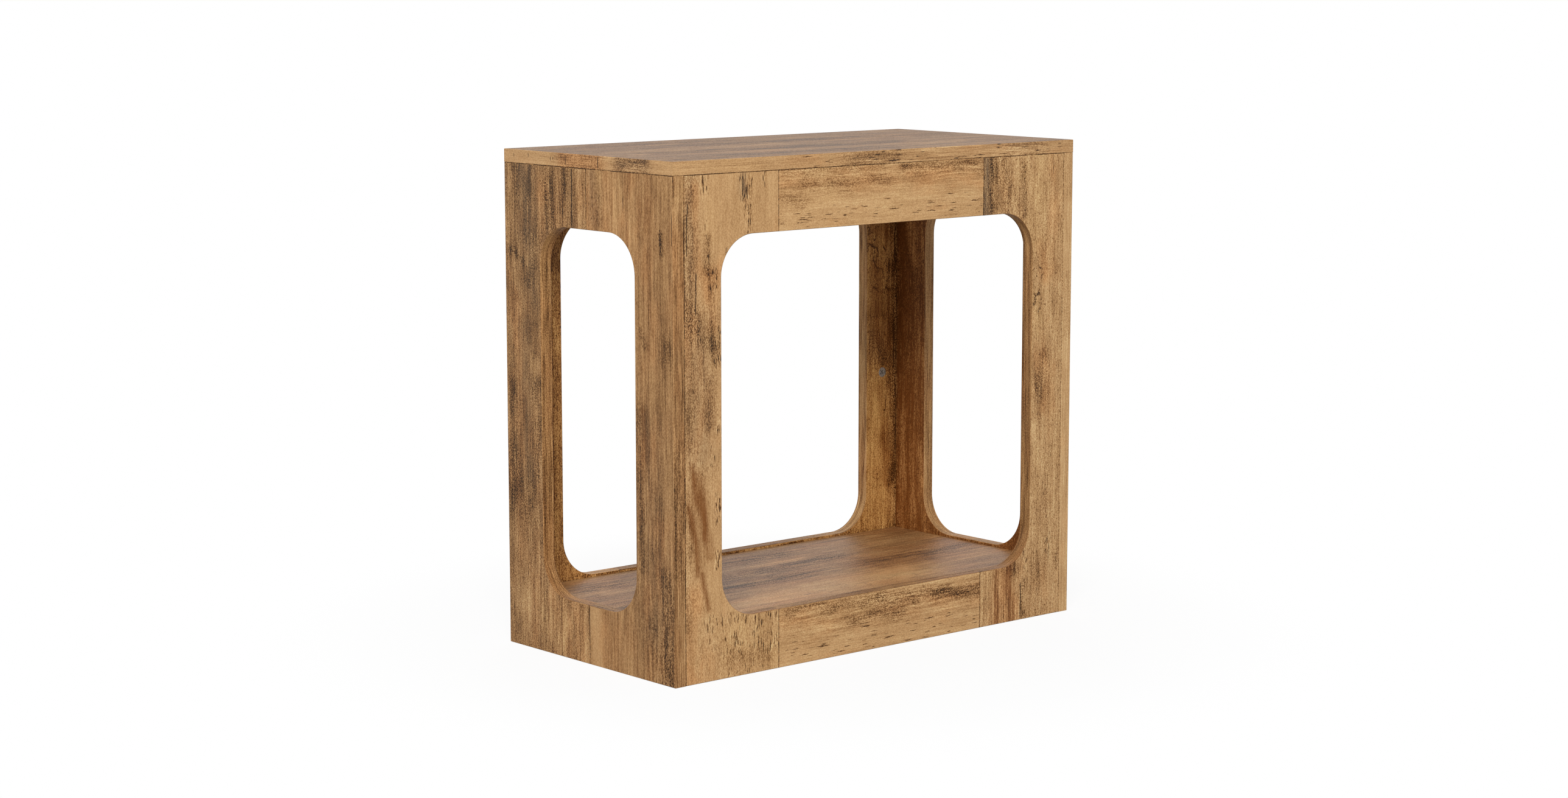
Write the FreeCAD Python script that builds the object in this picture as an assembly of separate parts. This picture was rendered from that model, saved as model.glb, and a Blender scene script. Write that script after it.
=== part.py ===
import FreeCAD, Part
import os

# End table with shelf, knocked down into flat boards that are drawn together by cam locks and dowels.
# Frame: origin on the floor under the middle of the table, X to the right, Y to the back, Z up.
# All sizes are in millimetres.

# Whole table
table_width = 600.0
table_depth = 299.0
table_height = 561.0
board_thickness = 15.0
arris = 0.5

# Face frames: each face of the table is a frame round one window
corner_post_width = 65.5
bottom_band_height = 66.0
top_band_height = 66.0
window_radius = 45.0
front_seam_from_side = 146.0

# Shelf
shelf_below_sill = 3.0

# Cam locks: a dished metal drum with a crossed slot
cam_diameter = 12.0
cam_from_edge = 24.0
cam_back_wall = 3.5
cam_below_face = 0.3
cam_rim_width = 1.3
cam_dish_depth = 0.8
cam_slot_length = 7.0
cam_slot_width = 1.4
cam_slot_depth = 2.2

# Cam bolts: a threaded end, a collar on the seam, a shank and a head that the cam grips
bolt_thread_diameter = 5.0
bolt_tip = 0.8
bolt_collar_diameter = 6.4
bolt_collar_length = 2.0
bolt_shank_diameter = 4.2
bolt_head_diameter = 5.8
bolt_head_length = 4.0
bolt_hole_clearance = 0.3

# Dowels
dowel_diameter = 6.0
dowel_length = 30.0
dowel_tip = 0.8

# Fits of the fittings in their holes
fit_clearance = 0.1
hole_end_gap = 0.5
face_wall = 4.0

# Places of the fittings
corner_cam_from_end = 32.0
corner_cam_middle_height = 261.0
rail_cam_from_seam = 80.0
side_cam_from_corner = 50.0
end_dowel_from_side = 80.0
band_dowel_inset = 14.0

# Planes that the boards share
half_width = table_width / 2
half_depth = table_depth / 2
inner_x = half_width - board_thickness
inner_y = half_depth - board_thickness
side_middle_x = half_width - board_thickness / 2
face_middle_y = half_depth - board_thickness / 2
frame_top = table_height - board_thickness
sill = bottom_band_height
head = frame_top - top_band_height
front_seam_x = half_width - front_seam_from_side
shelf_top = sill - shelf_below_sill
shelf_middle = shelf_top - board_thickness / 2
past_board = board_thickness

# Depths of the holes
face_hole_depth = board_thickness - face_wall
cam_bore_depth = board_thickness - cam_back_wall
bolt_hole_diameter = bolt_collar_diameter + 2 * bolt_hole_clearance
bolt_reach = cam_from_edge + bolt_head_length / 2

# Bands that the horizontal fittings sit in, as their lowest and highest edges
bands = {"bottom": (0.0, sill), "top": (head, frame_top)}
side_words = {-1: "left", 1: "right"}
half_words = {-1: "front", 1: "rear"}
face_words = {-1: "front", 1: "back"}
up = FreeCAD.Vector(0, 0, 1)

boards = {}
holes = {}
fittings = {}


def side_panel(side, half):
    """Name of the front or rear half of a side face."""
    return f"{side_words[side]}_side_{half_words[half]}_panel"


def end_panel(side, face):
    """Name of a C-shaped end of the front or back face."""
    return f"{face_words[face]}_{side_words[side]}_panel"


def rail(face, band):
    """Name of a straight rail of the front or back face."""
    return f"{face_words[face]}_{band}_rail"


def spread(a, b):
    """Two numbers in rising order."""
    return (min(a, b), max(a, b))


def block(x, y, z):
    """Box from three (low, high) pairs."""
    corner = FreeCAD.Vector(x[0], y[0], z[0])
    return Part.makeBox(x[1] - x[0], y[1] - y[0], z[1] - z[0], corner)


def lengths(edge):
    """Extent of an edge along X, Y and Z."""
    extent = edge.BoundBox
    return (extent.XLength, extent.YLength, extent.ZLength)


def window(through, across, span):
    """Round-cornered window, cut along axis through (0 or 1); across is its span on the other axis."""
    pairs = [across, across]
    pairs[through] = span
    opening = block(pairs[0], pairs[1], (sill, head))
    corners = [edge for edge in opening.Edges if lengths(edge)[through] > arris]
    room = min(across[1] - across[0], head - sill) / 2 - arris
    return opening.makeFillet(min(window_radius, room), corners)


def eased(shape, normal):
    """Board whose face outlines, square to axis normal, have a small chamfer."""
    extent = shape.BoundBox
    low = (extent.XMin, extent.YMin, extent.ZMin)[normal]
    high = (extent.XMax, extent.YMax, extent.ZMax)[normal]
    rims = []
    for edge in shape.Edges:
        place = (edge.CenterOfMass.x, edge.CenterOfMass.y, edge.CenterOfMass.z)[normal]
        on_face = min(abs(place - low), abs(place - high)) < arris
        if on_face and lengths(edge)[normal] < arris:
            rims.append(edge)
    return shape.makeChamfer(arris, rims)


def add_board(name, shape, normal):
    """Keep a board under its name, ready to be drilled."""
    boards[name] = eased(shape, normal)
    holes[name] = []


def rod(diameter, length, foot, axis):
    """Round rod that starts at foot and runs along axis."""
    return Part.makeCylinder(diameter / 2, length, foot, axis)


def turned(profile, foot, axis):
    """Solid turned from (radius, height) points about an axis that starts at foot."""
    points = [FreeCAD.Vector(radius, 0, height) for radius, height in profile]
    section = Part.Face(Part.makePolygon(points + points[:1]))
    solid = section.revolve(FreeCAD.Vector(), up, 360)
    solid.Placement = FreeCAD.Placement(foot, FreeCAD.Rotation(up, axis))
    return solid


def cam_bolt(seam, axis):
    """Bolt across a seam: its thread lies before the seam and its head in the cam beyond it."""
    tip = hole_end_gap - face_hole_depth
    thread = bolt_thread_diameter / 2
    collar = bolt_collar_diameter / 2
    shank = bolt_shank_diameter / 2
    gripped = bolt_head_diameter / 2
    head_start = bolt_reach - bolt_head_length
    profile = [
        (0, tip),
        (thread - bolt_tip, tip),
        (thread, tip + bolt_tip),
        (thread, 0),
        (collar, 0),
        (collar, bolt_collar_length),
        (shank, bolt_collar_length),
        (shank, head_start),
        (gripped, head_start),
        (gripped, bolt_reach),
        (0, bolt_reach),
    ]
    return turned(profile, seam, axis)


def cam_lock(seam, axis, outward, bolt_hole):
    """Dished drum in its bore, with a crossed slot in its face and a pocket for the bolt's head."""
    centre = seam + axis * cam_from_edge
    floor = centre + outward * (board_thickness / 2 - cam_bore_depth)
    height = cam_bore_depth - cam_below_face
    dish = height - cam_dish_depth
    radius = cam_diameter / 2
    lip = radius - cam_rim_width
    profile = [(0, 0), (radius, 0), (radius, height), (lip, height), (lip, dish), (0, dish)]
    drum = turned(profile, floor, outward)
    slot_size = (cam_slot_length, cam_slot_width, cam_slot_depth)
    slot = Part.makeBox(*slot_size, FreeCAD.Vector(-cam_slot_length / 2, -cam_slot_width / 2, 0))
    across = axis.cross(outward)
    base = floor + outward * (dish - cam_slot_depth)
    for arm in (axis + across, axis - across):
        cut = slot.copy()
        turn = FreeCAD.Rotation(arm, outward.cross(arm), outward, "ZXY")
        cut.Placement = FreeCAD.Placement(base, turn)
        drum = drum.cut(cut)
    return drum.cut(bolt_hole)


def join_cam(group, bolt_board, cam_board, seam, axis, outward):
    """Cam lock and bolt over a seam; axis runs into the cam's board, and the cam's face looks outward."""
    seam, axis, outward = FreeCAD.Vector(*seam), FreeCAD.Vector(*axis), FreeCAD.Vector(*outward)
    bolt_hole = rod(bolt_hole_diameter, bolt_reach + hole_end_gap, seam, axis)
    face = seam + axis * cam_from_edge + outward * (board_thickness / 2)
    bore = rod(cam_diameter + 2 * fit_clearance, cam_bore_depth, face, outward * -1)
    thread_hole = rod(bolt_thread_diameter + 2 * fit_clearance, face_hole_depth, seam, axis * -1)
    holes[bolt_board].append(thread_hole)
    holes[cam_board] += [bolt_hole, bore]
    fittings.setdefault(f"{group}_cam_locks", []).append(cam_lock(seam, axis, outward, bolt_hole))
    fittings.setdefault(f"{group}_cam_bolts", []).append(cam_bolt(seam, axis))


def join_dowel(group, near_board, far_board, seam, axis, near_depth):
    """Dowel over a seam, with near_depth of its hole before the seam and the rest beyond it."""
    seam, axis = FreeCAD.Vector(*seam), FreeCAD.Vector(*axis)
    far_depth = dowel_length + 2 * hole_end_gap - near_depth
    bore = dowel_diameter + 2 * fit_clearance
    holes[near_board].append(rod(bore, near_depth, seam, axis * -1))
    holes[far_board].append(rod(bore, far_depth, seam, axis))
    radius = dowel_diameter / 2
    profile = [
        (0, 0),
        (radius - dowel_tip, 0),
        (radius, dowel_tip),
        (radius, dowel_length - dowel_tip),
        (radius - dowel_tip, dowel_length),
        (0, dowel_length),
    ]
    foot = seam - axis * (near_depth - hole_end_gap)
    fittings.setdefault(f"{group}_dowels", []).append(turned(profile, foot, axis))


# Boards: top and shelf
whole_x = (-half_width, half_width)
whole_y = (-half_depth, half_depth)
add_board("top_panel", block(whole_x, whole_y, (frame_top, table_height)), 2)
shelf_z = (shelf_top - board_thickness, shelf_top)
add_board("shelf_panel", block((-inner_x, inner_x), (-inner_y, inner_y), shelf_z), 2)

# Boards: side faces, each two C-shaped halves that meet at mid-depth
side_opening = (corner_post_width - half_depth, half_depth - corner_post_width)
side_cut = window(0, side_opening, (-half_width - past_board, half_width + past_board))
for side in (-1, 1):
    for half in (-1, 1):
        x = spread(side * inner_x, side * half_width)
        y = spread(0.0, half * half_depth)
        panel = block(x, y, (0.0, frame_top)).cut(side_cut)
        add_board(side_panel(side, half), panel, 0)

# Boards: front and back faces, each two C-shaped ends and two rails between them
front_opening = (corner_post_width - half_width, half_width - corner_post_width)
front_cut = window(1, front_opening, (-half_depth - past_board, half_depth + past_board))
for face in (-1, 1):
    y = spread(face * inner_y, face * half_depth)
    for side in (-1, 1):
        x = spread(side * front_seam_x, side * inner_x)
        panel = block(x, y, (0.0, frame_top)).cut(front_cut)
        add_board(end_panel(side, face), panel, 1)
    strip = block((-front_seam_x, front_seam_x), y, (0.0, frame_top)).cut(front_cut)
    low_rail, high_rail = sorted(strip.Solids, key=lambda solid: solid.CenterOfMass.z)
    add_board(rail(face, "bottom"), low_rail, 1)
    add_board(rail(face, "top"), high_rail, 1)

# Fittings: upright corner joints, with the cams in the front and back panels
corner_cam_heights = (corner_cam_from_end, corner_cam_middle_height, frame_top - corner_cam_from_end)
corner_dowel_heights = [(a + b) / 2 for a, b in zip(corner_cam_heights, corner_cam_heights[1:])]
for side in (-1, 1):
    for face in (-1, 1):
        pair = (side_panel(side, face), end_panel(side, face))
        into_end = (-side, 0, 0)
        for z in corner_cam_heights:
            seam = (side * inner_x, face * face_middle_y, z)
            join_cam("corner", *pair, seam, into_end, (0, -face, 0))
        for z in corner_dowel_heights:
            seam = (side * inner_x, face * face_middle_y, z)
            join_dowel("corner", *pair, seam, into_end, face_hole_depth)

# Fittings: rails to C-shaped ends, and the two halves of each side
dowel_half = dowel_length / 2 + hole_end_gap
for band, (low, high) in bands.items():
    middle = (low + high) / 2
    dowel_heights = (low + band_dowel_inset, high - band_dowel_inset)
    for side in (-1, 1):
        for face in (-1, 1):
            pair = (end_panel(side, face), rail(face, band))
            into_rail = (-side, 0, 0)
            seam = (side * front_seam_x, face * face_middle_y, middle)
            join_cam("rail", *pair, seam, into_rail, (0, -face, 0))
            for z in dowel_heights:
                seam = (side * front_seam_x, face * face_middle_y, z)
                join_dowel("rail", *pair, seam, into_rail, dowel_half)
        pair = (side_panel(side, -1), side_panel(side, 1))
        into_rear = (0, 1, 0)
        join_cam("side", *pair, (side * side_middle_x, 0, middle), into_rear, (-side, 0, 0))
        for z in dowel_heights:
            join_dowel("side", *pair, (side * side_middle_x, 0, z), into_rear, dowel_half)

# Fittings: top and shelf to the frames, with the top's cams in the frames and the shelf's under the shelf
rail_cam_x = front_seam_x - rail_cam_from_seam
side_cam_y = half_depth - side_cam_from_corner
end_dowel_x = half_width - end_dowel_from_side
down = (0, 0, -1)
for side in (-1, 1):
    for face in (-1, 1):
        x = side * rail_cam_x
        inward_y = (0, -face, 0)
        join_cam("top", "top_panel", rail(face, "top"), (x, face * face_middle_y, frame_top), down, inward_y)
        seam = (x, face * inner_y, shelf_middle)
        join_cam("shelf", rail(face, "bottom"), "shelf_panel", seam, inward_y, down)
        y = face * side_cam_y
        inward_x = (-side, 0, 0)
        upright = side_panel(side, face)
        join_cam("top", "top_panel", upright, (side * side_middle_x, y, frame_top), down, inward_x)
        join_cam("shelf", upright, "shelf_panel", (side * inner_x, y, shelf_middle), inward_x, down)
        x = side * end_dowel_x
        upright = end_panel(side, face)
        seam = (x, face * face_middle_y, frame_top)
        join_dowel("top", "top_panel", upright, seam, down, face_hole_depth)
        seam = (x, face * inner_y, shelf_middle)
        join_dowel("shelf", upright, "shelf_panel", seam, inward_y, face_hole_depth)

# One file per board, drilled for its fittings, and one per group of like fittings
os.makedirs("parts", exist_ok=True)
for name, shape in boards.items():
    drilled = shape.cut(holes[name])
    drilled.exportStep(f"parts/{name}.step")
for name, solids in fittings.items():
    Part.makeCompound(solids).exportStep(f"parts/{name}.step")
print(len(boards), "boards and", len(fittings), "groups of fittings")
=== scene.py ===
"""End table with shelf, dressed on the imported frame: printed boards, cam fittings, studio light and camera.

Lengths are in metres. Marks on a printed board are placed in millimetres on its face. The first number runs
across from the table's left side (front, back, top and shelf) or from its front (sides). The second runs up
from the floor (uprights) or back from the front (top and shelf).
"""

import logging
import math
from collections.abc import Callable
from dataclasses import astuple, dataclass, field
from enum import Enum

import bpy
import numpy as np
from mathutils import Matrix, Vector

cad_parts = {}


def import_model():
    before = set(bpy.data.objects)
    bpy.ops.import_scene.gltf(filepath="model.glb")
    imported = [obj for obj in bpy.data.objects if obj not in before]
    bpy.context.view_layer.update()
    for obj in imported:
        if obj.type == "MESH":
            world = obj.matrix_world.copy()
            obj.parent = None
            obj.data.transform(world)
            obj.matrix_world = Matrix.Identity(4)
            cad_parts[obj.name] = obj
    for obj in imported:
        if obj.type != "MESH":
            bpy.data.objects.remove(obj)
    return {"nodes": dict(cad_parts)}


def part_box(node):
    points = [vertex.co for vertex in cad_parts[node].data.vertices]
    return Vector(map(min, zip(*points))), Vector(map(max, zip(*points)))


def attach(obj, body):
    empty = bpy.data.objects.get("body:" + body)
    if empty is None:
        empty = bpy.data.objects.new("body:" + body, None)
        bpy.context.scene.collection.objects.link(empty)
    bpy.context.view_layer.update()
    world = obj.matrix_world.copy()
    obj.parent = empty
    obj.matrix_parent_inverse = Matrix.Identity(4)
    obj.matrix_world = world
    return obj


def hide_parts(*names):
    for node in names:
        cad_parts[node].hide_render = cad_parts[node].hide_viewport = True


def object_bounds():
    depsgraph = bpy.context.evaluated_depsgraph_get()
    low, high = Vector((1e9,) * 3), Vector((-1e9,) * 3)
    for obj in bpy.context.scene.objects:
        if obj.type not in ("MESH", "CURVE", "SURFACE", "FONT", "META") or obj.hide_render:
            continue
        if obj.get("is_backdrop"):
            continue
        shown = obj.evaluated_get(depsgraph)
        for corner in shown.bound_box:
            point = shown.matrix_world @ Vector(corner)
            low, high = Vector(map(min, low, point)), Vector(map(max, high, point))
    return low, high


LOG = logging.getLogger("end_table")
MM = 0.001
BODY = "root"
PAINT_LAYERS = ("stains", "figure", "wear")
INNER_STEP = 0.31
EDGE_STEP = 0.77
LATTICE = 64
CREASE = math.radians(12)
STRONGEST = 2.0
BEND = (7, 9)
BEND_CELLS = ((14, 22), (16, 25))

Colour = tuple[int, int, int]
Tint = tuple[float, float, float, float]
Point = tuple[float, float]


def linear(colour: Colour) -> Tint:
    """Turn a colour as it shows on screen, from 0 to 255, into the linear values that a shader takes."""
    shown = np.array(colour) / 255
    low = shown / 12.92
    high = ((shown + 0.055) / 1.055) ** 2.4
    red, green, blue = np.where(shown <= 0.04045, low, high)
    return (float(red), float(green), float(blue), 1.0)


def drift(across: np.ndarray, along: np.ndarray, cell: Point, seed: int) -> np.ndarray:
    """Smooth random field: one random number per lattice point, blended both ways by 3t^2 - 2t^3.

    Args:
        across: first coordinate of each place.
        along: second coordinate of each place.
        cell: lattice spacing on the two coordinates.
        seed: picks the lattice.

    Returns:
        A value from 0 to 1 for each place.
    """
    lattice = np.random.default_rng(seed).random((LATTICE, LATTICE))
    u = across / cell[0]
    v = along / cell[1]
    i = np.floor(u).astype(int)
    j = np.floor(v).astype(int)
    s = (u - i) ** 2 * (3 - 2 * (u - i))
    t = (v - j) ** 2 * (3 - 2 * (v - j))
    right = (i + 1) % LATTICE
    above = (j + 1) % LATTICE
    i = i % LATTICE
    j = j % LATTICE
    near = lattice[i, j] * (1 - s) + lattice[right, j] * s
    far = lattice[i, above] * (1 - s) + lattice[right, above] * s
    return near * (1 - t) + far * t


def operation(kind: str, swapped: bool = False) -> Callable[["Value", "Value | float"], "Value"]:
    """Make an arithmetic method that adds a Math node.

    Args:
        kind: Blender's name for the operation.
        swapped: whether the other term comes first.

    Returns:
        The method.
    """
    def method(self: "Value", other: "Value | float") -> "Value":
        """Add the Math node over the two terms."""
        terms = (other, self) if swapped else (self, other)
        return self.graph.math(kind, *terms)

    return method


class Value:
    """A shader value that takes part in Python arithmetic; each operation adds a Math node."""

    def __init__(self, graph: "Graph", socket: bpy.types.NodeSocket) -> None:
        """Keep the socket and the graph that it belongs to."""
        self.graph = graph
        self.socket = socket

    __add__ = operation("ADD")
    __radd__ = operation("ADD", swapped=True)
    __sub__ = operation("SUBTRACT")
    __rsub__ = operation("SUBTRACT", swapped=True)
    __mul__ = operation("MULTIPLY")
    __rmul__ = operation("MULTIPLY", swapped=True)
    __truediv__ = operation("DIVIDE")
    __rtruediv__ = operation("DIVIDE", swapped=True)
    most = operation("MAXIMUM")

    def __abs__(self) -> "Value":
        """Size without sign."""
        return self.graph.math("ABSOLUTE", self)

    def swing(self, size: float = 2.0) -> "Value":
        """Centre a value from 0 to 1 on 0, with half the size either way."""
        return (self - 0.5) * size

    def band(self, low: float, high: float) -> "Value":
        """Rise smoothly from 0 at low to 1 at high."""
        ends = {"Value": self, "From Min": low, "From Max": high}
        return self.graph.value("ShaderNodeMapRange", {"interpolation_type": "SMOOTHSTEP"}, ends)


class Graph:
    """The node tree of one material, with the few calls that the finishes are written in."""

    def __init__(self, tree: bpy.types.NodeTree) -> None:
        """Start from an empty tree."""
        self.tree = tree
        tree.nodes.clear()

    def node(self, kind: str, settings: dict[str, object], inputs: dict[str, object]) -> bpy.types.Node:
        """Add a node: its settings first, then the values or links of its sockets.

        Args:
            kind: Blender's name for the node type.
            settings: attribute name and value of each option.
            inputs: socket name or identifier, and a number, tuple, Value or socket for it.

        Returns:
            The node.
        """
        made = self.tree.nodes.new(kind)
        for name, setting in settings.items():
            setattr(made, name, setting)
        for name, given in inputs.items():
            self.join(next(s for s in made.inputs if name in (s.identifier, s.name) and s.enabled), given)
        return made

    def join(self, socket: bpy.types.NodeSocket, given: object) -> None:
        """Link a Value or socket to a node's input, or set the input to a number or tuple."""
        if isinstance(given, Value):
            given = given.socket
        if isinstance(given, bpy.types.NodeSocket):
            self.tree.links.new(given, socket)
        else:
            socket.default_value = given

    def value(self, kind: str, settings: dict[str, object], inputs: dict[str, object],
              output: str = "") -> Value:
        """Add a node and take one of its outputs, the first that is in use unless it is named."""
        made = self.node(kind, settings, inputs)
        return Value(self, next(s for s in made.outputs if s.enabled and output in ("", s.name)))

    def math(self, kind: str, *terms: "Value | float") -> Value:
        """Add a Math node over one or two terms."""
        made = self.node("ShaderNodeMath", {"operation": kind}, {})
        for socket, term in zip(made.inputs, terms):
            self.join(socket, term)
        return Value(self, made.outputs[0])

    def vector_math(self, kind: str, inputs: dict[str, object]) -> Value:
        """Add a Vector Math node."""
        return self.value("ShaderNodeVectorMath", {"operation": kind}, inputs)

    def vector(self, x: "Value | float", y: "Value | float", z: "Value | float" = 0.0) -> Value:
        """Three values as one vector."""
        return self.value("ShaderNodeCombineXYZ", {}, {"X": x, "Y": y, "Z": z})

    def parts(self, vector: "Value | bpy.types.NodeSocket") -> list[Value]:
        """The three values of a vector or colour."""
        made = self.node("ShaderNodeSeparateXYZ", {}, {"Vector": vector})
        return [Value(self, output) for output in made.outputs]

    def noise(self, place: Value, detail: float = 2.0, rough: float = 0.5) -> Value:
        """Cloudy noise from 0 to 1 at a place that is already scaled."""
        inputs = {"Vector": place, "Scale": 1.0, "Detail": detail, "Roughness": rough}
        return self.value("ShaderNodeTexNoise", {"noise_dimensions": "3D"}, inputs)

    def object_place(self) -> bpy.types.NodeSocket:
        """The place in Object coordinates, in metres."""
        return self.node("ShaderNodeTexCoord", {}, {}).outputs["Object"]

    def object_noise(self, scale: float, detail: float, rough: float = 0.5) -> Value:
        """Cloudy noise in Object coordinates, with scale in waves per metre."""
        place = self.vector_math("SCALE", {"Vector": self.object_place(), "Scale": scale})
        return self.noise(place, detail, rough)

    def blend(self, share: "Value | float", first: object, second: object) -> Value:
        """Mix of two colours, all second where share is 1."""
        inputs = {"Factor_Float": share, "A_Color": first, "B_Color": second}
        settings = {"data_type": "RGBA", "clamp_factor": True}
        return self.value("ShaderNodeMix", settings, inputs, "Result")

    def bump(self, height: Value, depth: float) -> Value:
        """Normal of a surface whose height, from 0 to 1, stands for depth in metres."""
        inputs = {"Strength": 1.0, "Distance": depth, "Height": height}
        return self.value("ShaderNodeBump", {}, inputs)

    def surface(self, inputs: dict[str, object]) -> None:
        """Close the tree with a Principled surface."""
        shader = self.node("ShaderNodeBsdfPrincipled", {}, inputs)
        self.node("ShaderNodeOutputMaterial", {}, {"Surface": shader.outputs[0]})


def new_material(name: str) -> tuple[bpy.types.Material, Graph]:
    """A named material and the empty graph of its nodes."""
    material = bpy.data.materials.new(name)
    material.use_nodes = True
    return material, Graph(material.node_tree)


class Tone(Enum):
    """What a mark on the print adds, as its place among a board's painted values."""

    # STAIN darkens: the print's stains, and also painted shade in inner corners and along the shelf line.
    STAIN = 0
    FLAME = 1
    PALE = 2
    CRACKLE = 3
    LINES = 4
    PORES = 5
    SPECKLE = 6
    EDGE = 7
    TICKS = 8
    GREY = 9
    RUST = 10
    GOLD = 11


@dataclass(frozen=True)
class Figure:
    """How strong each kind of figure is where a print has no mark; the fields follow the order of Tone."""

    stain: float = 0.0
    flame: float = 0.0
    pale: float = 0.0
    crackle: float = 0.0
    lines: float = 0.0
    pores: float = 0.0
    speckle: float = 0.0
    edge: float = 0.0
    ticks: float = 0.0
    grey: float = 0.0
    rust: float = 0.0
    gold: float = 0.0


@dataclass(frozen=True)
class Mark:
    """A soft-edged stroke of the print or of painted shade, from start to end in millimetres on the board's
    face.
    """

    tone: Tone
    start: Point
    end: Point
    width: float
    weight: float

    def paint(self, across: np.ndarray, up: np.ndarray) -> np.ndarray:
        """Strength at each place: weight times exp(-(d / width)^2), d being the distance to the stroke.

        Args:
            across: first coordinate of each place, in millimetres.
            up: second coordinate of each place, in millimetres.

        Returns:
            The strength at each place.
        """
        run = np.subtract(self.end, self.start)
        length = max(float(run @ run), 1e-6)
        share = ((across - self.start[0]) * run[0] + (up - self.start[1]) * run[1]) / length
        share = np.clip(share, 0, 1)
        gap = np.hypot(across - self.start[0] - share * run[0], up - self.start[1] - share * run[1])
        return self.weight * np.exp(-((gap / self.width) ** 2))


Marks = tuple[Mark, ...]


def strokes(**groups: tuple[tuple[float, ...], ...]) -> Marks:
    """Marks grouped by tone.

    Args:
        groups: a tone's name, and for each stroke its start, end, width and weight in one row.

    Returns:
        The marks.
    """
    rows = [(Tone[name.upper()], row) for name, group in groups.items() for row in group]
    return tuple(Mark(tone, row[:2], row[2:4], row[4], row[5]) for tone, row in rows)


@dataclass(frozen=True)
class Check:
    """A dark crack in the print along the grain: its place across, ends, lean and half width, in millimetres.

    One on a board's inner face or its edge has that surface's step, by which its print is moved on.
    """

    across: float
    low: float
    high: float
    lean: float = 0.0
    half_width: float = 0.5
    step: float = 0.0


@dataclass(frozen=True)
class Spot:
    """A place on a print: metres along and across the grain, and the print's seed."""

    along: Value
    across: Value
    seed: float

    def aside(self, shift: Value | float) -> "Spot":
        """The place moved across the grain."""
        return Spot(self.along, self.across + shift, self.seed)


@dataclass(frozen=True)
class Weave:
    """A noise of the print: waves per metre along and across the grain, seed offset, detail and roughness."""

    along: float
    across: float
    offset: float
    detail: float = 2.0
    rough: float = 0.5

    def at(self, spot: Spot) -> Value:
        """The noise, from 0 to 1, at a place on a print."""
        graph = spot.along.graph
        place = graph.vector(spot.along * self.along, spot.across * self.across, spot.seed + self.offset)
        return graph.noise(place, self.detail, self.rough)


SWAY = Weave(5, 9, 0)
WAVE = Weave(40, 60, 0.5)
BANDS = Weave(2.4, 36, 1)
LINE = Weave(9, 290, 2, 3.0, 0.65)
HAIR = Weave(35, 1000, 3, 1.0)
FLECK = Weave(540, 920, 4, 1.0)
RAGGED = Weave(300, 700, 5)
CLOUD = Weave(26, 66, 6, 4.0, 0.62)
WARP = Weave(260, 320, 7, 3.0, 0.7)
SHOWN = Weave(75, 110, 8, 3.0)
WANDER = Weave(160, 30, 9)
FRAYED = Weave(260, 420, 10)
STROKE = Weave(105, 700, 11)
HUE = Weave(13, 38, 12, 3.0, 0.6)
SMEAR = Weave(11, 130, 13, 4.0, 0.65)
SCRATCH = Weave(200, 600, 14, 2.0, 0.6)
LONG_PORE = 0.013
SHORT_PORE = 0.008
SHORT_PORE_SHIFT = 0.37
GRAIN_DEPTH = 0.00012


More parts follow.
